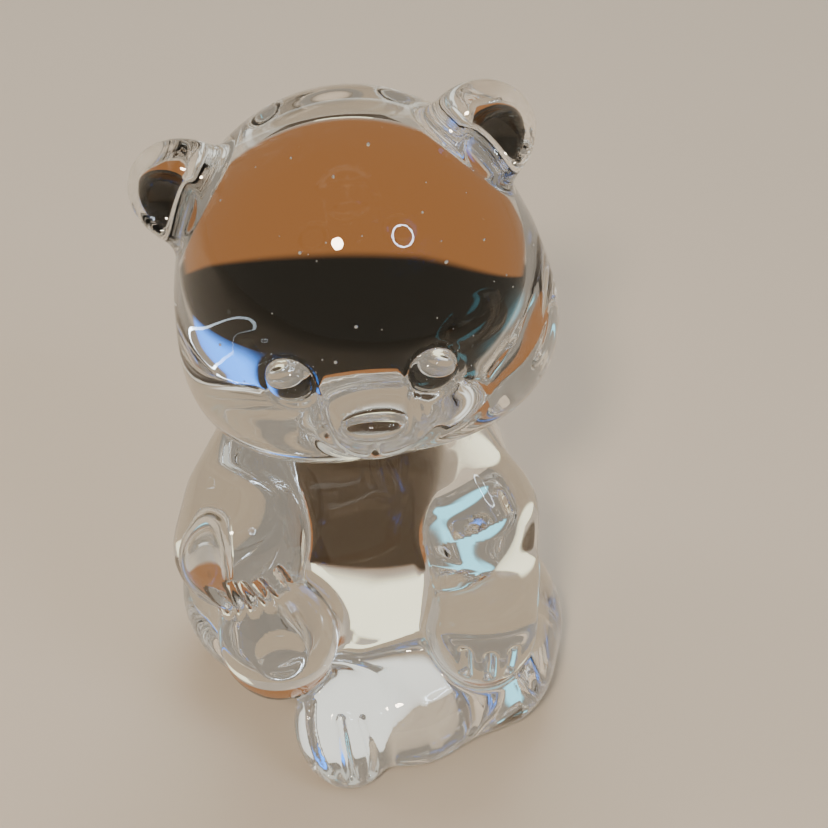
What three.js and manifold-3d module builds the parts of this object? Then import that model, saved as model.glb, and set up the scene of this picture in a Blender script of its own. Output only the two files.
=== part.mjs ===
// A solid crystal glass bear cub, seated, with one foot raised and its head tilted.
// Millimetres, +Z up, the bear faces -Y. The origin is on the ground base, under the torso's axis.
// Each gather of glass is its own closed solid. Later gathers are seated on the earlier ones.
import * as THREE from "three";
import { mergeVertices } from "three/addons/utils/BufferGeometryUtils.js";
import Module from "manifold-3d";

const wasm = await Module();
wasm.setup();

// ---- driving dimensions ----
const seatGap = 0.3; // clearance where one gather is seated on another
const facetLength = 3.6; // longest facet on a curved surface
const fewestSides = 12;
const mostSides = 28;

const torso = { radii: [20, 18.5, 27], back: 3, lift: 26 };
const belly = { radii: [19, 16.5, 21], back: -1, lift: 17 };
const chest = { radii: [13.5, 12, 12], back: -2, drop: 12 }; // drop: centre below the torso's top

const head = { roll: -9, turn: 4, aside: -0.2, ahead: 5, neckSink: 8.8 };
const skull = { radii: [20.2, 20, 20.8], at: [-0.4, 0, 1.6] };
const jowl = { radii: [21.4, 18.6, 16], ahead: 2, drop: 3 };
const cheek = { radii: [13.9, 14, 10.8], apart: 7.6, ahead: 4, drop: 6.6 };
const face = { roll: 3.5, turn: -1 }; // how far the face is turned on the head
const muzzle = { radii: [6.6, 5.4, 5.4], standOff: -1.2, dip: 15.8, aside: 0.4 };
const nose = { radii: [3.5, 1.9, 1.7], standOff: -0.5, dip: -19 };
const eye = { radii: [2.8, 1.9, 2.6], spread: 23.5, lift: 5, standOff: 0.2 };
const ear = { radii: [6.4, 4.2, 7], spread: 48, ahead: -3, standOff: 0.6, tip: 50, nod: -8 };
const earCup = { radii: [4.2, 3.9, 4.6], ahead: 4.6, up: 1 };

const haunch = { radii: [12.7, 15, 11.5], inset: 6.7, ahead: 1.5, lift: 9.5 };

const leftShoulder = { inset: 4.1, ahead: 5, drop: 10.5, radius: 6.2 };
const leftElbow = { out: 5.4, ahead: 6, above: 19, radius: 7.5 }; // above: over the left knee
const leftPaw = { radii: [7, 6.2, 8.2], ahead: 4, drop: 9.5, nod: -25 };
const rightShoulder = { inset: 2.1, ahead: 4, drop: 11, radius: 6.4 };
const rightElbow = { out: 3.4, ahead: 6, above: 16, radius: 7.2 }; // above: over the raised ankle
const rightPaw = { radii: [7.9, 7.2, 9.4], ahead: 5, drop: 3.5, nod: 20 };
const claw = { radius: 0.65, pitch: 2.7, depth: 0.35 };
const toe = { radius: 0.75, pitch: 3.1, depth: 0.4 };
const cleftTurn = 60; // how far a cleft runs round under the paw, in degrees

const leftKnee = { out: 3.3, ahead: 10.6, lift: 8, radius: 8.8 };
const leftShin = { inward: 12, ahead: 6.9, lift: 6.4, radius: 6.9 };
const leftAnkle = { inward: 7, ahead: 2.2, lift: 6, radius: 5.8 };
const leftFoot = { radii: [5.8, 7.2, 8.4], ahead: 1.8, lift: 6.4, nod: -10 };
const rightHip = { inward: 1.3, ahead: 4.5, lift: 16, radius: 8.4 };
const rightAnkle = { inward: 1.1, ahead: 12.5, rise: 4.5, radius: 7.2 };
const rightFoot = { radii: [7.1, 5.6, 8.9], ahead: 2.1, nod: -8 };
const soleDish = { radii: [3.7, 2.4, 3.7], depth: 0.9, up: 0.6 };

const crystalColour = 0xe9ece8;
const crystalRoughness = 0.04;
const crystalOpacity = 0.35;

// ---- shapes ----
const radians = THREE.MathUtils.degToRad;

// Sides of a round section, so that a facet is about facetLength long.
const sidesOf = (radius) =>
  Math.min(mostSides, Math.max(fewestSides, 2 * Math.round((Math.PI * radius) / facetLength)));

// A three.js geometry as a manifold-3d solid.
function solidOf(geometry) {
  const bare = geometry.clone();
  bare.deleteAttribute("normal");
  bare.deleteAttribute("uv");
  const merged = mergeVertices(bare, 1e-4);
  return new wasm.Manifold(
    new wasm.Mesh({
      numProp: 3,
      vertProperties: merged.attributes.position.array,
      triVerts: new Uint32Array(merged.index.array),
    }),
  );
}

// A manifold-3d solid as a three.js geometry with flat facets.
function geometryOf(solid) {
  const mesh = solid.getMesh();
  const points = new Float32Array(mesh.numVert * 3);
  for (let i = 0; i < mesh.numVert; i++)
    points.set(mesh.vertProperties.subarray(i * mesh.numProp, i * mesh.numProp + 3), i * 3);
  const geometry = new THREE.BufferGeometry();
  geometry.setAttribute("position", new THREE.BufferAttribute(points, 3));
  geometry.setIndex(new THREE.BufferAttribute(mesh.triVerts, 1));
  geometry.computeVertexNormals();
  return geometry;
}

// An ellipsoid with its poles on Z.
function ball(radii, at = [0, 0, 0]) {
  const sides = sidesOf(Math.max(...radii));
  const geometry = new THREE.SphereGeometry(1, sides, Math.round(sides * 0.6));
  geometry.rotateX(Math.PI / 2).scale(...radii).translate(...at);
  return solidOf(geometry);
}

// A limb with round ends, from one point to another, its radius changing evenly between them.
function limb(from, to, startRadius, endRadius) {
  const start = new THREE.Vector3(...from);
  const end = new THREE.Vector3(...to);
  const length = start.distanceTo(end);
  const sides = sidesOf(Math.max(startRadius, endRadius));
  const steps = Math.round(sides / 4);
  const profile = [new THREE.Vector2(0, -startRadius)];
  for (let i = 1; i <= steps; i++) {
    const angle = ((i / steps - 1) * Math.PI) / 2;
    profile.push(new THREE.Vector2(startRadius * Math.cos(angle), startRadius * Math.sin(angle)));
  }
  for (let i = 0; i < steps; i++) {
    const angle = ((i / steps) * Math.PI) / 2;
    const out = endRadius * Math.cos(angle);
    profile.push(new THREE.Vector2(out, length + endRadius * Math.sin(angle)));
  }
  profile.push(new THREE.Vector2(0, length + endRadius));
  const geometry = new THREE.LatheGeometry(profile, sides);
  const along = end.clone().sub(start).normalize();
  geometry.applyQuaternion(new THREE.Quaternion().setFromUnitVectors(new THREE.Vector3(0, 1, 0), along));
  geometry.translate(...from);
  return solidOf(geometry);
}

// Everything below the level on which the bear stands.
function underGround() {
  const reach = 200;
  return solidOf(new THREE.BoxGeometry(reach, reach, reach).translate(0, 0, -reach / 2));
}

const grown = (radii, by) => radii.map((r) => r + by);

// The point where a ray from an ellipsoid's centre meets its surface.
function surfacePoint(radii, direction) {
  const reach = 1 / Math.hypot(direction.x / radii[0], direction.y / radii[1], direction.z / radii[2]);
  return direction.clone().multiplyScalar(reach);
}

// A direction spread degrees to the side of straight ahead and lift degrees above level.
const facing = (spread, lift) =>
  new THREE.Vector3(
    Math.sin(radians(spread)) * Math.cos(radians(lift)),
    -Math.cos(radians(spread)) * Math.cos(radians(lift)),
    Math.sin(radians(lift)),
  );

// Clefts between toes or claws: grooves down the front of a paw and round under it, pitch apart.
function clefts(radii, groove, count) {
  const outset = 1 + (groove.radius - groove.depth) / radii[1];
  const turn = radians(cleftTurn);
  return Array.from({ length: count }, (_, i) => {
    const across = (i - (count - 1) / 2) * groove.pitch;
    const front = new THREE.Vector3(across, -radii[1], 0);
    const under = new THREE.Vector3(across, -radii[1] * Math.cos(turn), -radii[2] * Math.sin(turn));
    const [from, to] = [front, under].map((way) => surfacePoint(radii, way).multiplyScalar(outset));
    return limb(from.toArray(), to.toArray(), groove.radius, groove.radius);
  });
}

// ---- places, worked out from the sizes above ----
const torsoTop = torso.lift + torso.radii[2];
const headCentre = [head.aside, -head.ahead, torsoTop - head.neckSink + skull.radii[2]];
const chestHeight = torsoTop - chest.drop;
const haunchOut = torso.radii[0] - haunch.inset;

const kneeAt = [haunchOut + leftKnee.out, -haunch.ahead - leftKnee.ahead, leftKnee.lift];
const shinAt = [kneeAt[0] - leftShin.inward, kneeAt[1] - leftShin.ahead, leftShin.lift];
const ankleAt = [shinAt[0] - leftAnkle.inward, shinAt[1] - leftAnkle.ahead, leftAnkle.lift];
const hipAt = [-haunchOut + rightHip.inward, -haunch.ahead - rightHip.ahead, rightHip.lift];
const raisedAt = [hipAt[0] + rightAnkle.inward, hipAt[1] - rightAnkle.ahead, hipAt[2] + rightAnkle.rise];

// Shoulder, elbow and paw of one arm, whose paw rests on the leg at legHeight.
// side is 1 for the bear's left, which is +X.
function armPlaces(side, shoulder, elbow, paw, legHeight) {
  const out = side * (chest.radii[0] - shoulder.inset);
  const from = [out, chest.back - shoulder.ahead, torsoTop - shoulder.drop];
  const to = [out + side * elbow.out, from[1] - elbow.ahead, legHeight + elbow.above];
  return { from, to, paw: [to[0], to[1] - paw.ahead, to[2] - paw.drop] };
}
const leftArm = armPlaces(1, leftShoulder, leftElbow, leftPaw, kneeAt[2]);
const rightArm = armPlaces(-1, rightShoulder, rightElbow, rightPaw, raisedAt[2]);

// ---- material ----
// Clear crystal, the same in every gather.
function crystal(name) {
  const glass = new THREE.MeshStandardMaterial({ color: crystalColour, roughness: crystalRoughness });
  glass.name = `${name}_crystal`;
  glass.transparent = true;
  glass.opacity = crystalOpacity;
  return glass;
}

// ---- pieces ----
const figure = new THREE.Group();
const headGroup = new THREE.Group();
headGroup.position.set(...headCentre);
headGroup.rotation.set(0, radians(head.roll), radians(head.turn), "ZYX");
const faceGroup = new THREE.Group();
faceGroup.rotation.set(0, radians(face.roll), radians(face.turn), "ZYX");
headGroup.add(faceGroup);
figure.add(headGroup);

const pieces = [];

// Adds one named piece. turn is its degrees about X, Y and Z. shape(grow) gives its solid in its own
// place, with its skin moved out by grow.
function addPiece(name, parent, at, turn, shape, onGround = false) {
  const mesh = new THREE.Mesh(new THREE.BufferGeometry(), crystal(name));
  mesh.name = name;
  mesh.position.set(...at);
  mesh.rotation.set(...turn.map(radians), "ZYX");
  parent.add(mesh);
  pieces.push({ mesh, shape, onGround });
}

function addTorso() {
  addPiece("torso", figure, [0, 0, 0], [0, 0, 0], (grow) =>
    ball(grown(torso.radii, grow), [0, torso.back, torso.lift])
      .add(ball(grown(belly.radii, grow), [0, belly.back, belly.lift]))
      .add(ball(grown(chest.radii, grow), [0, chest.back, chestHeight])), true);
}

function addHaunches() {
  for (const [name, side] of [["haunch_right", -1], ["haunch_left", 1]])
    addPiece(name, figure, [side * haunchOut, -haunch.ahead, haunch.lift], [0, 0, 0],
      (grow) => ball(grown(haunch.radii, grow)), true);
}

function addLeftLeg() {
  addPiece("leg_left", figure, [0, 0, 0], [0, 0, 0], (grow) =>
    limb(kneeAt, shinAt, leftKnee.radius + grow, leftShin.radius + grow)
      .add(limb(shinAt, ankleAt, leftShin.radius + grow, leftAnkle.radius + grow)), true);
  const footAt = [ankleAt[0], ankleAt[1] - leftFoot.ahead, leftFoot.lift];
  addPiece("foot_left", figure, footAt, [leftFoot.nod, 0, 0],
    (grow) => withClefts(leftFoot.radii, toe, 3, grow), true);
}

function addRightLeg() {
  addPiece("leg_right", figure, [0, 0, 0], [0, 0, 0],
    (grow) => limb(hipAt, raisedAt, rightHip.radius + grow, rightAnkle.radius + grow));
  const dish = [0, -rightFoot.radii[1] + soleDish.depth - soleDish.radii[1], soleDish.up];
  const footAt = [raisedAt[0], raisedAt[1] - rightFoot.ahead, raisedAt[2]];
  addPiece("foot_right", figure, footAt, [rightFoot.nod, 0, 0], (grow) => {
    const foot = ball(grown(rightFoot.radii, grow));
    return grow ? foot : foot.subtract(ball(soleDish.radii, dish));
  });
}

// A paw with its clefts. They are left out of the grown copy that carves its neighbours.
function withClefts(radii, groove, count, grow) {
  const paw = ball(grown(radii, grow));
  return grow ? paw : clefts(radii, groove, count).reduce((left, cleft) => left.subtract(cleft), paw);
}

function addArms() {
  addPiece("arm_left", figure, [0, 0, 0], [0, 0, 0],
    (grow) => limb(leftArm.from, leftArm.to, leftShoulder.radius + grow, leftElbow.radius + grow));
  addPiece("paw_left", figure, leftArm.paw, [leftPaw.nod, 0, 0],
    (grow) => withClefts(leftPaw.radii, toe, 3, grow));
  addPiece("arm_right", figure, [0, 0, 0], [0, 0, 0],
    (grow) => limb(rightArm.from, rightArm.to, rightShoulder.radius + grow, rightElbow.radius + grow));
  addPiece("paw_right", figure, rightArm.paw, [rightPaw.nod, 0, 0],
    (grow) => withClefts(rightPaw.radii, claw, 4, grow));
}

function addHead() {
  addPiece("head", headGroup, [0, 0, 0], [0, 0, 0], (grow) => {
    let made = ball(grown(skull.radii, grow), skull.at);
    made = made.add(ball(grown(jowl.radii, grow), [0, -jowl.ahead, -jowl.drop]));
    for (const side of [-1, 1])
      made = made.add(ball(grown(cheek.radii, grow), [side * cheek.apart, -cheek.ahead, -cheek.drop]));
    return made;
  });
}

function addFace() {
  const skin = surfacePoint(skull.radii, facing(0, -muzzle.dip));
  const out = (point, by) => point.clone().add(point.clone().normalize().multiplyScalar(by));
  const muzzleAt = out(skin, muzzle.standOff).add(new THREE.Vector3(muzzle.aside, 0, 0));
  addPiece("muzzle", faceGroup, muzzleAt.toArray(), [0, 0, 0], (grow) => ball(grown(muzzle.radii, grow)));
  const tip = out(surfacePoint(muzzle.radii, facing(0, -nose.dip)), nose.standOff);
  const noseAt = muzzleAt.clone().add(tip).toArray();
  addPiece("nose", faceGroup, noseAt, [0, 0, 0], (grow) => ball(grown(nose.radii, grow)));
  for (const [name, side] of [["eye_right", -1], ["eye_left", 1]]) {
    const at = out(surfacePoint(skull.radii, facing(side * eye.spread, eye.lift)), eye.standOff);
    addPiece(name, faceGroup, at.toArray(), [0, 0, side * eye.spread],
      (grow) => ball(grown(eye.radii, grow)));
  }
}

function addEars() {
  for (const [name, side] of [["ear_right", -1], ["ear_left", 1]]) {
    const up = new THREE.Vector3(side * Math.sin(radians(ear.spread)), -Math.sin(radians(ear.ahead)),
      Math.cos(radians(ear.spread))).normalize();
    const at = surfacePoint(skull.radii, up).addScaledVector(up, ear.standOff);
    at.add(new THREE.Vector3(...skull.at));
    addPiece(name, headGroup, at.toArray(), [ear.nod, side * ear.tip, 0], (grow) => {
      const whole = ball(grown(ear.radii, grow));
      return grow ? whole : whole.subtract(ball(earCup.radii, [0, -earCup.ahead, earCup.up]));
    });
  }
}

addTorso();
addHaunches();
addLeftLeg();
addRightLeg();
addArms();
addHead();
addFace();
addEars();

// Seats each gather on the ones before it, and grinds the base flat.
figure.updateMatrixWorld(true);
const bottomCut = underGround();
pieces.forEach((piece, index) => {
  const toLocal = piece.mesh.matrixWorld.clone().invert();
  let solid = piece.shape(0);
  for (const earlier of pieces.slice(0, index)) {
    const place = toLocal.clone().multiply(earlier.mesh.matrixWorld);
    solid = solid.subtract(earlier.shape(seatGap).transform(place.elements));
  }
  if (piece.onGround) solid = solid.subtract(bottomCut.transform(toLocal.elements));
  piece.mesh.geometry = geometryOf(solid);
});

export default figure;
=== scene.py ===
# A solid crystal bear cub on a pale studio floor.
# The cub's masses are melted into one smooth skin, which is then parted into its named pieces.
# Lengths are millimetres, or metres where a note says so. The cub faces -Y and its left side is +X.
import math
import bpy
import numpy as np
from mathutils import Matrix, Vector


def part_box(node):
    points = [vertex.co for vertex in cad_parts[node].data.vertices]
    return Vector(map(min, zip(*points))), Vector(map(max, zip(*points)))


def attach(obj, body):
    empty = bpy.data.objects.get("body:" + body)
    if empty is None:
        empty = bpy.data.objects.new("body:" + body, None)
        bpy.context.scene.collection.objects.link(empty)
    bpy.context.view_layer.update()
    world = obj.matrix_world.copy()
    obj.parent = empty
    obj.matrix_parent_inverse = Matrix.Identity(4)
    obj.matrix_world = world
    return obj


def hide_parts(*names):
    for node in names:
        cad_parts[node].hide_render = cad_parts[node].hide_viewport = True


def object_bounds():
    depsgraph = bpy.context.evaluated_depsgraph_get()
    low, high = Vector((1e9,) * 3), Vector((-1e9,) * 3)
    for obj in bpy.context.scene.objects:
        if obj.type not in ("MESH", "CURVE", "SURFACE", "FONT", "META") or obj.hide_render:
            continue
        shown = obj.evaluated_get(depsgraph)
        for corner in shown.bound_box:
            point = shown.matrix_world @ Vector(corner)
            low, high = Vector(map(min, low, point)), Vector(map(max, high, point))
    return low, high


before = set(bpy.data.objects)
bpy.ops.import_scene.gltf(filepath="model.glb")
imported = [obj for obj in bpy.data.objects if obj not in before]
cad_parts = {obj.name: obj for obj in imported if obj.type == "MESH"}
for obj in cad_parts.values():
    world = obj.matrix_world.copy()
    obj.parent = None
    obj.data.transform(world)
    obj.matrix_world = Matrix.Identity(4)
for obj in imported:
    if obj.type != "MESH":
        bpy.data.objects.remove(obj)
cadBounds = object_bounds()
mm = 0.001

# the middle of each CAD node's box: every mass is placed from one of these
middles = {}
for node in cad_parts:
    low, high = (np.array(corner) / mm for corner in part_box(node))
    middles[node] = (low + high) / 2


def spot(node, shift=(0, 0, 0)):
    return middles[node] + np.array(shift, float)


def lineSpots(node, lines):
    return [(spot(node, start), spot(node, end)) for start, end in lines]


def turnAbout(axis, degrees):
    return np.array(Matrix.Rotation(math.radians(degrees), 3, axis))


tiny = 1e-9  # keeps a division from zero


# a form gives the distance from points (n, 3) to its surface, negative inside
def oval(points, centre, radii, turn=None):
    # ellipsoid: with k the length of point / radii,
    # the distance is near k (k - 1) / the length of point / radii squared
    local = points - centre.astype(points.dtype)
    if turn is not None:
        local = local @ turn.astype(points.dtype)
    radii = np.asarray(radii, points.dtype)
    scaled = np.sqrt(((local / radii) ** 2).sum(-1)) + tiny
    steep = np.sqrt(((local / radii ** 2) ** 2).sum(-1)) + tiny
    return scaled * (scaled - 1) / steep


def limb(points, start, end, startRadius, endRadius):
    # the distance to the nearest point of a line, less a radius that changes evenly along it
    start, end = start.astype(points.dtype), end.astype(points.dtype)
    along = end - start
    share = np.clip(((points - start) @ along) / (along @ along), 0, 1)
    away = points - start - share[..., None] * along
    return np.sqrt((away ** 2).sum(-1)) - (startRadius + (endRadius - startRadius) * share)


def meld(first, second, softness):
    # the smaller distance, less a quarter of softness where the two are equal: a fillet of molten glass
    near = np.maximum(softness - np.abs(first - second), 0) / softness
    return np.minimum(first, second) - near * near * softness / 4


def carve(body, tool, softness):
    return -meld(-body, tool, softness)


def scored(points, body, heart, lines, width, depth):
    # grooves pressed in from outside: the skin sinks by depth times e to the minus (distance / width)
    # squared, where the distance is from the line seen along the way out from the mass's heart. It fades
    # to nothing at the heart's own height, so that the far side has no grooves
    for start, end in lines:
        out = (start + end) / 2 - heart
        out = (out / np.linalg.norm(out)).astype(points.dtype)
        height = (points - heart.astype(points.dtype)) @ out
        seen = points - height[..., None] * out
        ends = [point - ((point - heart) @ out) * out for point in (start, end)]
        away = limb(seen, *ends, 0, 0)
        body = body + depth * np.exp(-(away / width) ** 2) * np.clip(height, 0, 1)
    return body


def clefted(points, form, node, limbEnd):
    # a foot or paw with the clefts between its toes pressed in
    return scored(points, form, spot(node), lineSpots(node, limbEnd["clefts"]), limbEnd["cleftWidth"],
                  limbEnd["cleftDepth"])


torso = {
    "shift": (0, -0.8, -0.5), "radii": (18.6, 17.5, 23.5),
    "bellyShift": (0, -3.5, -6.5), "bellyRadii": (19, 16, 20),
    "chestShift": (0, -6, 13.5), "chestRadii": (13.5, 10.5, 12),
    "bellyMeld": 4, "chestMeld": 6, "footing": 0.8,  # footing: how rounded the edge of the ground base is
}
haunch = {  # shift: inwards, back, up
    "leftShift": (3.1, -2.2, -3.6), "rightShift": (3.9, 0.6, 0.6), "radii": (12.7, 14.5, 11.5), "meld": 8,
}


def torsoForm(points):
    body = oval(points, spot("torso", torso["shift"]), torso["radii"])
    belly = oval(points, spot("torso", torso["bellyShift"]), torso["bellyRadii"])
    chest = oval(points, spot("torso", torso["chestShift"]), torso["chestRadii"])
    return meld(meld(body, belly, torso["bellyMeld"]), chest, torso["chestMeld"])


def haunchForm(points, node, side):
    inward, back, up = haunch["leftShift"] if side > 0 else haunch["rightShift"]
    return oval(points, spot(node, (-side * inward, back, up)), haunch["radii"])


leftLeg = {  # it lies on the base
    "knee": (6.8, 4.7, -0.6), "kneeRadius": 8.8, "shin": (-3.2, -1.4, -1.9), "shinRadius": 7.3,
    "ankle": (-11.1, -4.1, -2.1), "ankleRadius": 5.9, "meld": 3,
}
leftFoot = {
    "shift": (-0.2, 0.3, -0.8), "radii": (6.2, 7.2, 8.4), "nod": -10, "roll": -15, "meld": 1.5, "cutMeld": 2,
    "cleftWidth": 0.55, "cleftDepth": 1.1,
    "clefts": (((-4.0, -1.5, 5.6), (-2.2, -6.6, -1.5)), ((-0.4, -3.8, 5.2), (0.9, -7.0, -3.0)),
               ((2.6, -3.6, 4.4), (3.7, -5.6, -3.8))),
}


def leftFootForm(points):
    turn = turnAbout("Y", leftFoot["roll"]) @ turnAbout("X", leftFoot["nod"])
    foot = oval(points, spot("foot_left", leftFoot["shift"]), leftFoot["radii"], turn)
    return clefted(points, foot, "foot_left", leftFoot)


def leftLegForm(points):
    knee, shin, ankle = (spot("leg_left", leftLeg[key]) for key in ("knee", "shin", "ankle"))
    thigh = limb(points, knee, shin, leftLeg["kneeRadius"], leftLeg["shinRadius"])
    calf = limb(points, shin, ankle, leftLeg["shinRadius"], leftLeg["ankleRadius"])
    return meld(thigh, calf, leftLeg["meld"])


# the right leg is raised, and its foot has a round sole pad
rightLeg = {
    "hip": (-0.1, 8.7, -3.6), "hipRadius": 8.4, "ankle": (1.0, -3.8, 0.9), "ankleRadius": 7.2, "meld": 2.2,
}
rightFoot = {
    "shift": (-0.1, 0.9, 0.3), "radii": (7.1, 5.6, 9.0), "nod": -8, "meld": 2.0,
    "padShift": (1.1, -9.3, 3.6), "padRadius": 6.4, "padSoftness": 0.35,
}


def rightFootForm(points):
    turn = turnAbout("X", rightFoot["nod"])
    foot = oval(points, spot("foot_right", rightFoot["shift"]), rightFoot["radii"], turn)
    pad = oval(points, spot("foot_right", rightFoot["padShift"]), [rightFoot["padRadius"]] * 3)
    return carve(foot, pad, rightFoot["padSoftness"])


def rightLegForm(points):
    hip, ankle = spot("leg_right", rightLeg["hip"]), spot("leg_right", rightLeg["ankle"])
    return limb(points, hip, ankle, rightLeg["hipRadius"], rightLeg["ankleRadius"])


leftArm = {
    "shoulder": (-5.2, 4.6, 8.7), "shoulderRadius": 6.0, "upper": (-0.4, 0.3, -0.6), "upperRadius": 7.4,
    "elbow": (0.8, -1.9, -8.1), "elbowRadius": 7.1, "bend": 2, "meld": 1.6,
}
leftPaw = {
    "shift": (-0.1, 0.4, 2.2), "radii": (7.0, 6.2, 8.2), "nod": -25, "meld": 3, "cutMeld": 5,
    "cleftWidth": 0.6, "cleftDepth": 1.2,
    "clefts": (((-2.4, -5.3, 2.6), (-2.4, -5.6, -0.6)), ((0.7, -5.9, 2.2), (0.7, -6.0, -1.2)),
               ((3.9, -5.2, 2.2), (3.7, -5.4, -0.8))),
}
rightArm = {
    "shoulder": (3.2, 4.0, 3.1), "shoulderRadius": 6.4, "elbow": (-0.2, -2.0, -2.4), "elbowRadius": 7.2,
    "meld": 1.6,
}
rightPaw = {
    "shift": (-0.5, 0.1, -0.5), "radii": (8.0, 7.2, 9.5), "nod": 20, "meld": 3,
    "cleftWidth": 0.42, "cleftDepth": 0.9,
    "clefts": (((-4.7, -4.7, -3.6), (-3.2, -4.4, -7.2)), ((-3.2, -6.6, -1.0), (-1.0, -5.3, -6.9)),
               ((-0.7, -7.4, 0.6), (0.5, -5.8, -6.0)), ((0.4, -7.3, 0.6), (2.6, -5.6, -5.4)),
               ((2.5, -6.8, 0.6), (4.3, -5.2, -4.8)), ((4.8, -5.5, 1.4), (6.0, -3.6, -3.4))),
}


def pawForm(points, node, paw):
    form = oval(points, spot(node, paw["shift"]), paw["radii"], turnAbout("X", paw["nod"]))
    return clefted(points, form, node, paw)


def leftPawForm(points):
    return pawForm(points, "paw_left", leftPaw)


def leftArmForm(points):
    shoulder, upper, elbow = (spot("arm_left", leftArm[key]) for key in ("shoulder", "upper", "elbow"))
    top = limb(points, shoulder, upper, leftArm["shoulderRadius"], leftArm["upperRadius"])
    lower = limb(points, upper, elbow, leftArm["upperRadius"], leftArm["elbowRadius"])
    return meld(top, lower, leftArm["bend"])


def rightPawForm(points):
    return pawForm(points, "paw_right", rightPaw)


def rightArmForm(points):
    shoulder, elbow = spot("arm_right", rightArm["shoulder"]), spot("arm_right", rightArm["elbow"])
    return limb(points, shoulder, elbow, rightArm["shoulderRadius"], rightArm["elbowRadius"])


head = {
    "shift": (-0.9, 0.3, -1.9),  # to the centre that the head turns about
    "turn": 4, "roll": -9, "meld": 1.4,
    "skullAt": (-0.4, 0, 1.6), "skullRadii": (20.2, 20, 20.8),
    "jowlAt": (0, -2, -3), "jowlRadii": (21.4, 18.6, 16), "jowlMeld": 4,
    "cheekAt": (7.6, -4, -6.6), "cheekRadii": (13.9, 14, 10.8), "cheekMeld": 3,
}
headTurn = turnAbout("Z", head["turn"]) @ turnAbout("Y", head["roll"])
headCentre = spot("head", head["shift"])


def headForm(points):
    def part(at, radii):
        return oval(points, headCentre + headTurn @ np.array(at, float), radii, headTurn)

    skull = part(head["skullAt"], head["skullRadii"])
    form = meld(skull, part(head["jowlAt"], head["jowlRadii"]), head["jowlMeld"])
    out, back, up = head["cheekAt"]
    for side in (-1, 1):
        form = meld(form, part((side * out, back, up), head["cheekRadii"]), head["cheekMeld"])
    return form


face = {"turn": 3, "roll": -5.5}  # it is rolled a little less than the skull
muzzle = {  # the folds run down from the eyes' inner corners, and the mouth is an upturned Y under the nose
    "shift": (-0.2, 2.7, 0.3), "radii": (6.6, 5.4, 5.4), "meld": 2.2, "foldWidth": 0.8, "foldDepth": 0.4,
    "folds": (((-6.3, 0.8, 4.1), (-5.3, -0.7, -0.5)), ((-5.3, -0.7, -0.5), (-3.6, -1.4, -2.6)),
              ((3.9, 1.3, 4.2), (4.9, -0.7, -0.2))),
    "mouthWidth": 0.45, "mouthDepth": 0.6, "mouthHeart": (0, 6, 4),
    "mouth": (((0.0, -24.0, -6.2), (0.0, -22.9, -8.6)), ((0.0, -22.9, -8.6), (-2.8, -22.0, -9.4)),
              ((0.0, -22.9, -8.6), (2.8, -22.0, -9.4))),
}
nose = {"shift": (0, 0.5, 0), "radii": (3.5, 1.9, 1.7), "meld": 0.5}
eye = {
    "leftShift": (-0.6, -0.4, -1.5), "rightShift": (0, -0.1, -0.8), "radii": (2.6, 1.9, 2.4), "spread": 20,
    "meld": 0.3, "ringWidth": 0.55, "ringDepth": 0.45,
}
faceTurn = turnAbout("Z", face["turn"]) @ turnAbout("Y", face["roll"])


def facePoint(at):
    return headCentre + faceTurn @ np.array(at, float)


def muzzleForm(points):
    form = oval(points, spot("muzzle", muzzle["shift"]), muzzle["radii"], faceTurn)
    lines = [(facePoint(start), facePoint(end)) for start, end in muzzle["mouth"]]
    return scored(points, form, spot("muzzle", muzzle["mouthHeart"]), lines, muzzle["mouthWidth"],
                  muzzle["mouthDepth"])


def noseForm(points):
    return oval(points, spot("nose", nose["shift"]), nose["radii"], faceTurn)


def eyeForm(points, node, side):
    turn = faceTurn @ turnAbout("Z", side * eye["spread"])
    return oval(points, spot(node, eye["leftShift"] if side > 0 else eye["rightShift"]), eye["radii"], turn)


def eyeRing(dome):
    # how far the face sinks in a soft ring round the dome: deepest just outside it
    return eye["ringDepth"] * np.exp(-((dome - eye["ringWidth"] / 2) / eye["ringWidth"]) ** 2)


ear = {  # a thick disc, cupped at the front
    "radii": (6.4, 4.2, 7.0), "tip": 50, "nod": -8, "meld": 2.0,
    "leftShift": (0.1, -0.4, -1.3), "rightShift": (0.7, -0.6, -1.7),
    "cupAt": (0.9, -4.6, 2.0), "cupRadii": (4.2, 3.9, 4.6), "cupSoftness": 0.9,
}


def earForm(points, node, side):
    centre = spot(node, ear["leftShift"] if side > 0 else ear["rightShift"])
    turn = headTurn @ turnAbout("Y", side * ear["tip"]) @ turnAbout("X", ear["nod"])
    disc = oval(points, centre, ear["radii"], turn)
    out, back, up = ear["cupAt"]
    cup = oval(points, centre + turn @ np.array((side * out, back, up)), ear["cupRadii"], turn)
    return carve(disc, cup, ear["cupSoftness"])


def wholeHead(points):
    form = meld(headForm(points), muzzleForm(points), muzzle["meld"])
    form = scored(points, form, headCentre, lineSpots("muzzle", muzzle["folds"]), muzzle["foldWidth"],
                  muzzle["foldDepth"])
    form = meld(form, noseForm(points), nose["meld"])
    for node, side in (("eye_right", -1), ("eye_left", 1)):
        dome = eyeForm(points, node, side)
        form = meld(form + eyeRing(dome), dome, eye["meld"])
    for node, side in (("ear_right", -1), ("ear_left", 1)):
        form = meld(form, earForm(points, node, side), ear["meld"])
    return form


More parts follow.
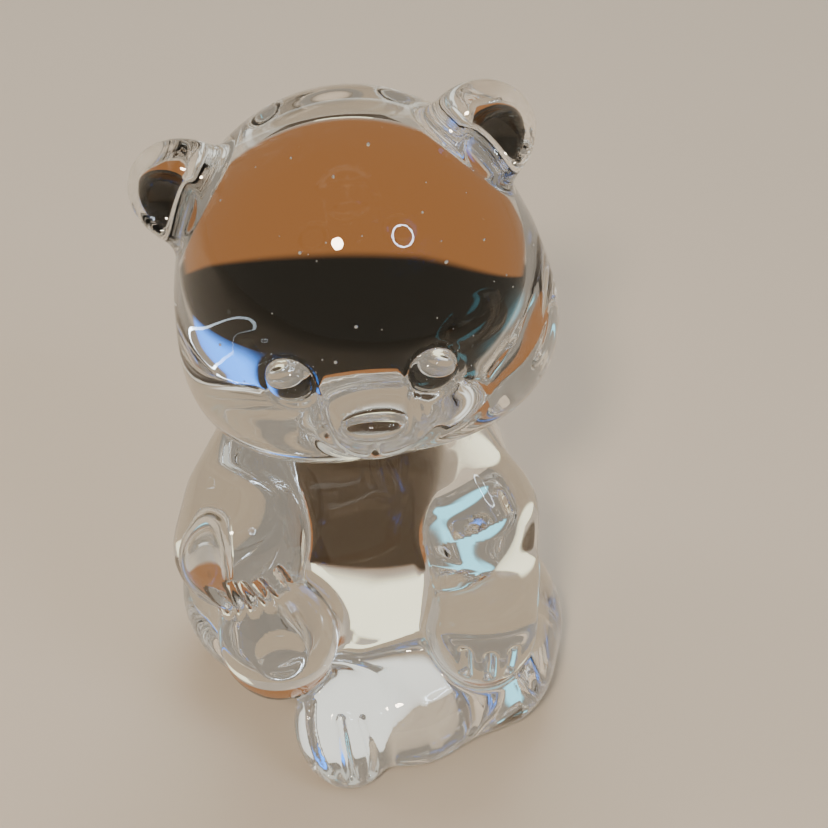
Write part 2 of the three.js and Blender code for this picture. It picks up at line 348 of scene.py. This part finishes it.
def wholeCub(points):
    body = torsoForm(points)
    for node, side in (("haunch_right", -1), ("haunch_left", 1)):
        body = meld(body, haunchForm(points, node, side), haunch["meld"])
    body = meld(body, meld(leftLegForm(points), leftFootForm(points), leftFoot["meld"]), leftLeg["meld"])
    body = meld(body, meld(rightLegForm(points), rightFootForm(points), rightFoot["meld"]), rightLeg["meld"])
    body = meld(body, meld(leftArmForm(points), leftPawForm(points), leftPaw["meld"]), leftArm["meld"])
    body = meld(body, meld(rightArmForm(points), rightPawForm(points), rightPaw["meld"]), rightArm["meld"])
    body = meld(body, wholeHead(points), head["meld"])
    return carve(body, points[..., 2], torso["footing"])


skin = {
    "step": 0.42,  # spacing of the net's points
    "frontStep": 0.36, "frontDepth": 18,  # closer behind the face and the paws
    "margin": 4, "block": 8, "chunk": 200000,  # points per block side, and points worked out at a time
    "liveShare": 1.05, "liveSpare": 1.5,  # how near the surface the middle of a worked-out block is
    "relax": 1, "probe": 0.02, "reach": 0.4, "flattest": 0.1,
    "joined": -1e-4,  # the value of a grid corner that joins the inside
    "backSpread": 1.2, "cutterStep": 1.1, "cutterMargin": 6,
}


def filledValues(form, axes):
    # the form's value at each grid point, worked out only in the blocks that its surface may cross
    block = skin["block"]
    size = tuple(len(axis) for axis in axes)
    middleAxes = []
    for axis in axes:
        starts = axis[::block]
        ends = axis[np.minimum(np.arange(0, len(axis), block) + block, len(axis) - 1)]
        middleAxes.append((starts + ends) / 2)
    centres = np.stack(np.meshgrid(*middleAxes, indexing="ij"), -1)
    coarse = form(centres.reshape(-1, 3)).reshape(centres.shape[:3])
    widest = max(np.diff(axis).max() for axis in axes) * block
    live = np.abs(coarse) < widest * skin["liveShare"] + skin["liveSpare"]
    for direction in range(3):
        coarse = np.repeat(coarse, block, direction)
        live = np.repeat(live, block, direction)
    values = coarse[:size[0], :size[1], :size[2]].astype(np.float32)
    where = np.nonzero(live[:size[0], :size[1], :size[2]])
    points = np.stack([axis[index] for axis, index in zip(axes, where)], -1).astype(np.float32)
    chunk = skin["chunk"]
    found = [form(points[start:start + chunk]) for start in range(0, len(points), chunk)]
    values[where] = np.concatenate(found)
    return values


def slopeOf(form, points):
    # central differences: the way in which the distance grows fastest
    probe = skin["probe"]
    sides = [form(points + step) - form(points - step) for step in np.eye(3) * probe]
    return np.stack(sides, -1) / (2 * probe)


def settled(form, points, quads, rounds):
    # each point is drawn to its neighbours along the surface, then pushed back onto it
    reach = skin["reach"]
    for turn in range(rounds + 1):
        for _ in range(2):
            slope = slopeOf(form, points)
            length = np.maximum((slope ** 2).sum(-1), skin["flattest"])
            points = points - np.clip(form(points) / length, -reach, reach)[:, None] * slope
        if turn == rounds:
            break
        total, count = np.zeros_like(points), np.zeros(len(points))
        for corner in range(4):
            here, there = quads[:, corner], quads[:, (corner + 1) % 4]
            np.add.at(total, here, points[there])
            np.add.at(total, there, points[here])
            np.add.at(count, here, 1)
            np.add.at(count, there, 1)
        pull = (total / count[:, None] - points) / 2
        slope /= np.linalg.norm(slope, axis=1)[:, None]
        points = points + pull - (pull * slope).sum(1)[:, None] * slope
    return points


squareCorners = ((0, 0), (1, 0), (1, 1), (0, 1))


def untangled(values):
    # a grid square with its inside corners opposite each other would tie four faces to one edge,
    # so the outside corner that is nearest the surface joins the inside
    for first, second in ((0, 1), (1, 2), (0, 2)):
        corners = []
        for offset in squareCorners:
            window = [slice(None)] * 3
            for direction, shift in zip((first, second), offset):
                window[direction] = slice(shift, values.shape[direction] - 1 + shift)
            corners.append(values[tuple(window)] < 0)
        crossed = (corners[0] == corners[2]) & (corners[1] == corners[3]) & (corners[0] != corners[1])
        for index in np.argwhere(crossed):
            places = []
            for offset in squareCorners:
                place = index.copy()
                place[[first, second]] += offset
                places.append(tuple(place))
            outer = [place for place in places if values[place] >= 0]
            if outer:
                values[min(outer, key=lambda place: values[place])] = skin["joined"]
    return values


def netOver(form, axes, rounds):
    # one point in each grid cell that the surface crosses, at the mean of its crossings on the cell's edges,
    # and one four-sided face round each grid edge that it crosses
    values = untangled(untangled(filledValues(form, axes)))
    cells = tuple(n - 1 for n in values.shape)
    total, count = np.zeros(cells + (3,)), np.zeros(cells)
    crossings = []
    for direction in range(3):
        first = np.moveaxis(values, direction, 0)[:-1]
        second = np.moveaxis(values, direction, 0)[1:]
        first, second = np.moveaxis(first, 0, direction), np.moveaxis(second, 0, direction)
        crossed = (first < 0) != (second < 0)
        index = np.argwhere(crossed)
        share = first[crossed] / (first[crossed] - second[crossed])
        point = np.stack([axis[index[:, i]] for i, axis in enumerate(axes)], -1)
        axis = axes[direction]
        point[:, direction] += share * (axis[index[:, direction] + 1] - axis[index[:, direction]])
        around = []
        for offset in squareCorners:
            cell = index.copy()
            cell[:, (direction + 1) % 3] -= offset[0]
            cell[:, (direction + 2) % 3] -= offset[1]
            np.add.at(total, tuple(cell.T), point)
            np.add.at(count, tuple(cell.T), 1)
            around.append(cell)
        crossings.append((around, first[crossed] < 0))
    held = count > 0
    number = np.full(cells, -1, np.int64)
    number[held] = np.arange(held.sum())
    points = total[held] / count[held][:, None]
    quads = []
    for around, leaving in crossings:
        face = np.stack([number[tuple(cell.T)] for cell in around], 1)
        face[~leaving] = face[~leaving][:, ::-1]
        quads.append(face)
    quads = np.concatenate(quads)
    return settled(form, points, quads, rounds), quads


def gridAxis(low, high, step):
    return np.arange(low, high + step, step)


print("scene: melting the masses into one skin")
low, high = (np.array(corner) / mm for corner in cadBounds)
low, high = low - skin["margin"], high + skin["margin"]
frontEnd = low[1] + skin["frontDepth"]
backStart = frontEnd + 2 * skin["frontStep"]
yAxis = np.concatenate([gridAxis(low[1], frontEnd, skin["frontStep"]),
                        gridAxis(backStart, high[1], skin["step"] * skin["backSpread"])])
skinAxes = [gridAxis(low[0], high[0], skin["step"]), yAxis, gridAxis(low[2], high[2], skin["step"])]
skinPoints, skinQuads = netOver(wholeCub, skinAxes, skin["relax"])
print("scene: skin has", len(skinPoints), "points")


# name, form, and how far past its own surface a piece takes the skin, so that it keeps its fillets
gathers = [
    ("nose", noseForm, 0.35),
    ("eye_right", lambda points: eyeForm(points, "eye_right", -1), 0.4),
    ("eye_left", lambda points: eyeForm(points, "eye_left", 1), 0.4),
    ("muzzle", muzzleForm, 0.8),
    ("ear_right", lambda points: earForm(points, "ear_right", -1), 1.0),
    ("ear_left", lambda points: earForm(points, "ear_left", 1), 1.0),
    ("paw_right", rightPawForm, 0.9),
    ("paw_left", leftPawForm, 0.9),
    ("foot_right", rightFootForm, 0.9),
    ("foot_left", leftFootForm, 0.9),
    ("arm_right", lambda points: meld(rightArmForm(points), rightPawForm(points), rightPaw["meld"]), 1.0),
    ("arm_left", lambda points: meld(leftArmForm(points), leftPawForm(points), leftPaw["cutMeld"]), 1.0),
    ("leg_right", lambda points: meld(rightLegForm(points), rightFootForm(points), rightFoot["meld"]), 1.0),
    ("leg_left", lambda points: meld(leftLegForm(points), leftFootForm(points), leftFoot["cutMeld"]), 1.1),
    ("head", wholeHead, 1.2),
    ("haunch_right", lambda points: haunchForm(points, "haunch_right", -1), 1.2),
    ("haunch_left", lambda points: haunchForm(points, "haunch_left", 1), 1.2),
]
outside, fused = 0, 1  # material slots: the polished skin, and the faces where two gathers are fused


def meshFrom(name, points, quads, slot):
    mesh = bpy.data.meshes.new(name)
    mesh.vertices.add(len(points))
    mesh.vertices.foreach_set("co", points.astype(np.float32).ravel())
    mesh.loops.add(quads.size)
    mesh.loops.foreach_set("vertex_index", quads.astype(np.int32).ravel())
    mesh.polygons.add(len(quads))
    mesh.polygons.foreach_set("loop_start", np.arange(0, quads.size, quads.shape[1], dtype=np.int32))
    mesh.polygons.foreach_set("use_smooth", np.ones(len(quads), bool))
    mesh.polygons.foreach_set("material_index", np.full(len(quads), slot, np.int32))
    mesh.update(calc_edges=True)
    return mesh


def addObject(name, mesh):
    piece = bpy.data.objects.new(name, mesh)
    bpy.context.scene.collection.objects.link(piece)
    return piece


def parted(body, tool, operation):
    # the body's mesh after one cut, with the tool's faces in the fused slot
    modifier = body.modifiers.new("part", "BOOLEAN")
    modifier.object = tool
    modifier.operation = operation
    modifier.solver = "MANIFOLD"
    graph = bpy.context.evaluated_depsgraph_get()
    mesh = bpy.data.meshes.new_from_object(body.evaluated_get(graph))
    body.modifiers.remove(modifier)
    return mesh


def polish(mesh):
    # the skin's normals come from the form itself, so that light crosses a seam without a break
    count = len(mesh.vertices)
    points = np.empty(count * 3, np.float32)
    mesh.vertices.foreach_get("co", points)
    points = points.reshape(-1, 3).astype(float)
    corner = np.empty(len(mesh.loops), np.int32)
    mesh.loops.foreach_get("vertex_index", corner)
    sides = np.empty(len(mesh.polygons), np.int32)
    mesh.polygons.foreach_get("loop_total", sides)
    slots = np.empty(len(mesh.polygons), np.int32)
    mesh.polygons.foreach_get("material_index", slots)
    flat = np.empty(len(mesh.polygons) * 3, np.float32)
    mesh.polygons.foreach_get("normal", flat)
    normals = np.repeat(flat.reshape(-1, 3), sides, axis=0)
    onSkin = np.repeat(slots, sides) == outside
    slope = slopeOf(wholeCub, points)
    slope /= np.linalg.norm(slope, axis=1)[:, None]
    normals[onSkin] = slope[corner[onSkin]]
    mesh.normals_split_custom_set(normals)
    mesh.transform(Matrix.Scale(mm, 4))


def partCub():
    rest = addObject("torso_glass", meshFrom("torso", skinPoints, skinQuads, outside))
    pieces = {}
    cutterAxes = [gridAxis(low[i] - skin["cutterMargin"], high[i] + skin["cutterMargin"], skin["cutterStep"])
                  for i in range(3)]
    for name, form, growth in gathers:
        toolPoints, toolQuads = netOver(lambda points: form(points) - growth, cutterAxes, 1)
        tool = addObject("tool", meshFrom("tool", toolPoints, toolQuads, fused))
        for holder in (rest, tool):
            if not holder.data.materials:
                holder.data.materials.append(crystal)
                holder.data.materials.append(seam)
        mesh = parted(rest, tool, "INTERSECT")
        rest.data = parted(rest, tool, "DIFFERENCE")
        bpy.data.objects.remove(tool)
        pieces[name] = addObject(name + "_glass", mesh)
    pieces["torso"] = rest
    return pieces


class Wire:
    # a node socket that can be subtracted and multiplied, each step making its Math node
    def __init__(self, tree, socket):
        self.tree, self.socket = tree, socket

    def join(self, operation, first, second):
        return self.tree.node("ShaderNodeMath", {"operation": operation}, {0: first, 1: second})[0]

    def __sub__(self, other):
        return self.join("SUBTRACT", self, other)

    def __rsub__(self, other):
        return self.join("SUBTRACT", other, self)

    def __mul__(self, other):
        return self.join("MULTIPLY", self, other)

    def __rmul__(self, other):
        return self.join("MULTIPLY", other, self)


class Nodes:
    # one material's nodes: node() takes a type, its settings, and the values or wires of its inputs
    def __init__(self, name):
        self.material = bpy.data.materials.new(name)
        self.material.use_nodes = True
        self.tree = self.material.node_tree
        self.tree.nodes.clear()

    def node(self, kind, settings={}, inputs={}):
        made = self.tree.nodes.new(kind)
        for key, value in settings.items():
            setattr(made, key, value)
        for key, value in inputs.items():
            if isinstance(value, Wire):
                self.tree.links.new(value.socket, made.inputs[key])
            else:
                made.inputs[key].default_value = value
        return [Wire(self, socket) for socket in made.outputs]

    def finish(self, shader):
        output = self.tree.nodes.new("ShaderNodeOutputMaterial")
        self.tree.links.new(shader.socket, output.inputs["Surface"])
        return self.material


glassLook = {
    "tint": (0.985, 0.99, 0.985, 1), "deepTint": (0.955, 0.965, 0.955, 1), "index": 1.5,
    "waveSize": 90, "waveDetail": 1.0, "waveRoughness": 0.4,  # size: waves per metre
    "waveHeight": 0.00012, "waveStrength": 0.25,  # height: metres
    "haze": 0.035,  # how rough the handled patches are
    "hazeSize": 45.0, "hazeDetail": 4.0, "hazeRoughness": 0.6, "hazeStart": 0.52, "hazeFull": 0.72,
}


def glassNoise(nodes, place, kind):
    return nodes.node("ShaderNodeTexNoise", {"noise_dimensions": "3D"}, {
        "Vector": place, "Scale": glassLook[kind + "Size"], "Detail": glassLook[kind + "Detail"],
        "Roughness": glassLook[kind + "Roughness"]})[0]


def crystalMaterial():
    nodes = Nodes("crystal")
    place = nodes.node("ShaderNodeTexCoord")[3]
    waves = glassNoise(nodes, place, "wave")
    bump = nodes.node("ShaderNodeBump", {}, {"Height": waves, "Strength": glassLook["waveStrength"],
                                             "Distance": glassLook["waveHeight"]})[0]
    cloud = glassNoise(nodes, place, "haze")
    handled = nodes.node("ShaderNodeMapRange", {"interpolation_type": "SMOOTHSTEP"}, {
        "Value": cloud, "From Min": glassLook["hazeStart"], "From Max": glassLook["hazeFull"],
        "To Min": 0.0, "To Max": 1.0})[0]
    colour = nodes.node("ShaderNodeMix", {"data_type": "RGBA"},
                        {0: cloud, 6: glassLook["tint"], 7: glassLook["deepTint"]})[2]
    shader = nodes.node("ShaderNodeBsdfPrincipled", {}, {
        "Base Color": colour, "Roughness": handled * glassLook["haze"], "IOR": glassLook["index"],
        "Transmission Weight": 1.0, "Normal": bump})[0]
    return nodes.finish(shader)


def seamMaterial():
    # two fused gathers have no surface between them, so these inner faces let everything through
    nodes = Nodes("fused_seam")
    return nodes.finish(nodes.node("ShaderNodeBsdfPrincipled", {}, {"Alpha": 0.0, "IOR": 1.0})[0])


def seedMaterial():
    nodes = Nodes("seed_bubble")
    return nodes.finish(nodes.node("ShaderNodeBsdfPrincipled", {}, {
        "Base Color": seeds["colour"], "Metallic": 1.0, "Roughness": seeds["roughness"]})[0])


# fine bubbles that the molten glass kept: silvery specks in the head
seeds = {
    "count": 42, "smallest": 0.05, "largest": 0.16, "reach": 0.82, "rings": 4, "steps": 8, "seed": 23,
    "colour": (0.93, 0.93, 0.91, 1), "roughness": 0.3,
}


def seedBubbles():
    chance = np.random.default_rng(seeds["seed"])
    way = chance.normal(size=(seeds["count"], 3))
    way /= np.linalg.norm(way, axis=1)[:, None]
    depth = chance.random(seeds["count"]) ** (1 / 3) * seeds["reach"]  # even through the skull's volume
    centres = headCentre + (way * depth[:, None] * np.array(head["skullRadii"])) @ headTurn.T
    radii = seeds["smallest"] + (seeds["largest"] - seeds["smallest"]) * chance.random(seeds["count"]) ** 3
    # a small globe: rings of points between two poles, each ring joined to the next by four-sided faces
    rings, steps = seeds["rings"], seeds["steps"]
    lift = np.pi * np.arange(1, rings + 1) / (rings + 1)
    around = 2 * np.pi * np.arange(steps) / steps
    globe = np.stack([np.outer(np.sin(lift), np.cos(around)), np.outer(np.sin(lift), np.sin(around)),
                      np.outer(np.cos(lift), np.ones(steps))], -1).reshape(-1, 3)
    globe = np.concatenate([globe, [(0, 0, 1), (0, 0, -1)]])
    faces = []
    for step in range(steps):
        after = (step + 1) % steps
        faces += [(rings * steps, step, after), (rings * steps + 1, (rings - 1) * steps + after,
                                                 (rings - 1) * steps + step)]
        for row in range(rings - 1):
            first, second = row * steps, (row + 1) * steps
            faces += [(first + step, second + step, second + after),
                      (first + step, second + after, first + after)]
    faces = np.array(faces)
    points = (centres[:, None] + radii[:, None, None] * globe).reshape(-1, 3)
    faces = (faces[None] + len(globe) * np.arange(seeds["count"])[:, None, None]).reshape(-1, 3)
    bubbles = addObject("seed_bubbles", meshFrom("seed_bubbles", points * mm, faces, 0))
    bubbles.data.materials.append(seedMaterial())
    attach(bubbles, "root")


crystal, seam = crystalMaterial(), seamMaterial()
print("scene: parting the skin")
pieces = partCub()
for name, piece in pieces.items():
    polish(piece.data)
    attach(piece, "root")
    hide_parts(name)
    print("scene:", piece.name, len(piece.data.polygons), "faces")
seedBubbles()
print("scene: seed bubbles")


# the studio, in metres: a pale floor, lamps, and glowing cards that only refracted light meets; the cards
# paint highlights and shade into the crystal
stage = {
    "floorSize": 3.0, "floorDrop": 0.0002,
    "floorColour": (0.57, 0.495, 0.405, 1), "floorDark": (0.54, 0.465, 0.375, 1),
    "floorCloudSize": 9.0, "floorCloudDetail": 5.0, "floorRoughness": 0.75, "floorShine": 0.2,
    "worldColour": (0.30, 0.263, 0.215, 1), "worldStrength": 1.0,
}
# name, width, height, middle, glow colour, width of the soft edge across and along, upright
cards = [
    # painted warm shade: a dim orange-brown glow that only the glass sees, so the top of the head shows
    # brown above a pale floor
    ("tawny_card", 0.30, 0.058, (0, 0.053, 0.0008), (0.37, 0.142, 0.038), (0.05, 0.004), False),
    # painted shade: a near-black sheet that only the glass sees, so the crystal shows dark where the floor
    # behind is pale and lit
    ("dark_card", 0.60, 0.80, (0, 0.46, 0.0004), (0.004, 0.003, 0.001), (0.14, 0.008), False),
    # painted shade: a small dim brown glow behind the body that only the glass sees, darkening the middle of
    # the chest
    ("chest_card", 0.021, 0.0207, (0.0015, 0.0205, 0.0142), (0.058, 0.034, 0.016), (0.0012, 0.0012), True),
    # painted light: a warm glow under the base that only the glass sees, lightening the shaded floor under
    # the cub
    ("base_card", 0.046, 0.044, (0, -0.004, -0.0001), (0.52, 0.40, 0.27), (0.001, 0.001), False),
    # painted highlight: a glow brighter than white under the toes that only the glass sees
    ("toe_card", 0.032, 0.022, (0.001, -0.016, -0.00005), (1.45, 1.45, 1.32), (0.006, 0.005), False),
    # painted highlight: a small glow brighter than white behind the belly that only the glass sees,
    # whitening the lower belly
    ("belly_card", 0.015, 0.0095, (0, 0.0213, 0.0001), (2.1, 2.0, 1.4), (0.0012, 0.0012), False),
    # painted highlight: a strong blue glow low behind the cub's left that only the glass sees, giving a
    # cheek its blue sheen
    ("strong_blue_glow_card", 0.17, 0.07, (0.125, 0.16, 0.032), (0.10, 0.95, 3.6), (0.03, 0.02), True),
    # painted light: a tall pale glow behind the cub that only the glass sees, lightening the belly and the
    # leg
    ("pale_back_glow_card", 0.50, 1.00, (0, 0.62, 0.59), (0.80, 0.78, 0.67), (0.08, 0.08), True),
    # painted highlight: a pale blue glow in front and to the cub's right that only the glass sees,
    # lightening the tops of the arms
    ("bluish_white_glow_card", 0.30, 0.38, (-0.405, -0.26, 0.39), (0.56, 1.6, 1.9), (0.08, 0.08), True),
    # painted light: a warm glow overhead that only the glass sees, lightening the raised leg
    ("upper_card", 0.36, 0.34, (-0.16, 0.19, 0.55), (0.72, 0.58, 0.42), (0.08, 0.08), False),
]
lamps = [  # name, place, aim, width, height, power in watts, colour
    ("warm_lamp", (-0.081, -0.418, 0.467), (0, 0, 0.06), 0.075, 0.075, 2.6, (1.0, 0.82, 0.62)),
    ("soft_box", (0.02, 0.27, 0.48), (0, 0, 0.05), 0.40, 0.24, 1.25, (0.84, 0.92, 1.0)),
    ("side_box", (-0.48, 0.05, 0.22), (0, 0, 0.04), 0.16, 0.30, 0.5, (1.0, 0.93, 0.84)),
    ("high_box", (0, 0.3, 1.6), (0, 0.3, 0), 3.0, 3.0, 12.0, (1.0, 0.98, 0.95)),
]
ring = {"place": (0.311, -0.310, 0.448), "aim": (0, 0, 0.06), "radius": 0.066, "width": 0.009,
        "colour": (0.72, 0.86, 1.0), "strength": 60.0, "steps": 64}


def flatSheet(name, across, deep, middle, material, upright=False):
    # a rectangle lying flat, or standing and facing the cub
    x, y = across / 2, deep / 2
    corners = np.array([(-x, -y, 0), (x, -y, 0), (x, y, 0), (-x, y, 0)], float)
    if upright:
        corners = corners[:, [0, 2, 1]]
    sheet = addObject(name, meshFrom(name, corners + np.array(middle, float), np.array([[0, 1, 2, 3]]), 0))
    sheet.data.materials.append(material)
    return sheet


def floorMaterial():
    nodes = Nodes("studio_floor")
    place = nodes.node("ShaderNodeTexCoord")[3]
    cloud = nodes.node("ShaderNodeTexNoise", {}, {"Vector": place, "Scale": stage["floorCloudSize"],
                                                  "Detail": stage["floorCloudDetail"]})[0]
    colour = nodes.node("ShaderNodeMix", {"data_type": "RGBA"},
                        {0: cloud, 6: stage["floorColour"], 7: stage["floorDark"]})[2]
    return nodes.finish(nodes.node("ShaderNodeBsdfPrincipled", {}, {
        "Base Color": colour, "Roughness": stage["floorRoughness"],
        "Specular IOR Level": stage["floorShine"]})[0])


def glowNode(nodes, colour, strength):
    return nodes.node("ShaderNodeEmission", {}, {"Color": (*colour, 1), "Strength": strength})[0]


def softGlowMaterial(name, colour, size, middle, softness, upright):
    # the glow fades to clear near the card's edge: with inset the distance from an edge, the share of glow
    # is the smooth step of inset / softness across the card times the same along it
    nodes = Nodes(name)
    place = nodes.node("ShaderNodeSeparateXYZ", {}, {0: nodes.node("ShaderNodeTexCoord")[3]})
    shares = []
    for side, soft, direction in zip(size, softness, (0, 2) if upright else (0, 1)):
        offset = place[direction] - middle[direction]
        away = nodes.node("ShaderNodeMath", {"operation": "ABSOLUTE"}, {0: offset})[0]
        shares.append(nodes.node("ShaderNodeMapRange", {"interpolation_type": "SMOOTHSTEP"}, {
            "Value": side / 2 - away, "From Min": 0.0, "From Max": soft, "To Min": 0.0, "To Max": 1.0})[0])
    glow = glowNode(nodes, colour, 1.0)
    clear = nodes.node("ShaderNodeBsdfTransparent")[0]
    share = shares[0] * shares[1]
    return nodes.finish(nodes.node("ShaderNodeMixShader", {}, {0: share, 1: clear, 2: glow})[0])


def areaLight(name, place, aim, across, tall, power, colour):
    data = bpy.data.lights.new(name, "AREA")
    data.shape = "ELLIPSE"
    data.size, data.size_y = across, tall
    data.energy = power
    data.color = colour
    light = bpy.data.objects.new(name, data)
    bpy.context.scene.collection.objects.link(light)
    light.location = place
    light.rotation_euler = (Vector(aim) - Vector(place)).to_track_quat("-Z", "Y").to_euler()
    light.visible_glossy = name == "warm_lamp"  # the boxes only light the floor
    light.visible_transmission = False


def ringLamp():
    # a flat ring of light: two circles of points round the way that it faces
    turn = np.array((Vector(ring["aim"]) - Vector(ring["place"])).to_track_quat("-Z", "Y").to_matrix())
    angle = np.linspace(0, 2 * np.pi, ring["steps"], endpoint=False)
    circle = np.stack([np.cos(angle), np.sin(angle), np.zeros_like(angle)], -1)
    radii = ring["radius"] + np.array([-0.5, 0.5]) * ring["width"]
    points = np.concatenate([circle * radius for radius in radii]) @ turn.T + np.array(ring["place"])
    inner = np.arange(ring["steps"])
    after = (inner + 1) % ring["steps"]
    quads = np.stack([inner, after, after + ring["steps"], inner + ring["steps"]], 1)
    lamp = addObject("ring_lamp", meshFrom("ring_lamp", points, quads, 0))
    nodes = Nodes("ring_glow")
    lamp.data.materials.append(nodes.finish(glowNode(nodes, ring["colour"], ring["strength"])))
    lamp.visible_camera = False


def buildStage():
    size, drop = stage["floorSize"], stage["floorDrop"]
    flatSheet("studio_floor", size, size, (0, 0, -drop), floorMaterial())
    for name, across, tall, middle, colour, softness, upright in cards:
        glow = softGlowMaterial(name, colour, (across, tall), middle, softness, upright)
        card = flatSheet(name, across, tall, middle, glow, upright)
        # the cards are hidden from the camera, from light bouncing off other surfaces, from reflections and
        # from shadows, so their painted highlights and shade show only through the glass
        card.visible_camera = card.visible_diffuse = card.visible_glossy = card.visible_shadow = False
    world = bpy.data.worlds.new("studio")
    bpy.context.scene.world = world
    world.use_nodes = True
    background = world.node_tree.nodes["Background"]
    background.inputs["Color"].default_value = stage["worldColour"]
    background.inputs["Strength"].default_value = stage["worldStrength"]
    for lamp in lamps:
        areaLight(*lamp)
    ringLamp()


view = {"lens": 79, "elevation": 40, "distance": 230, "aimShift": (6.0, 4.2, -4.75)}


def addCamera():
    data = bpy.data.cameras.new("camera")
    data.lens = view["lens"]
    data.clip_start = 0.01
    camera = bpy.data.objects.new("camera", data)
    bpy.context.scene.collection.objects.link(camera)
    lift = math.radians(view["elevation"])
    aim = Vector((low + high) / 2 * mm) + Vector(view["aimShift"]) * mm
    camera.location = aim + Vector((0, -math.cos(lift), math.sin(lift))) * view["distance"] * mm
    camera.rotation_euler = (aim - camera.location).to_track_quat("-Z", "Y").to_euler()
    bpy.context.scene.camera = camera


buildStage()
addCamera()
cycles = bpy.context.scene.cycles
cycles.max_bounces = 20
cycles.transmission_bounces = 20
cycles.glossy_bounces = 12
cycles.transparent_max_bounces = 64
print("scene: stage set")
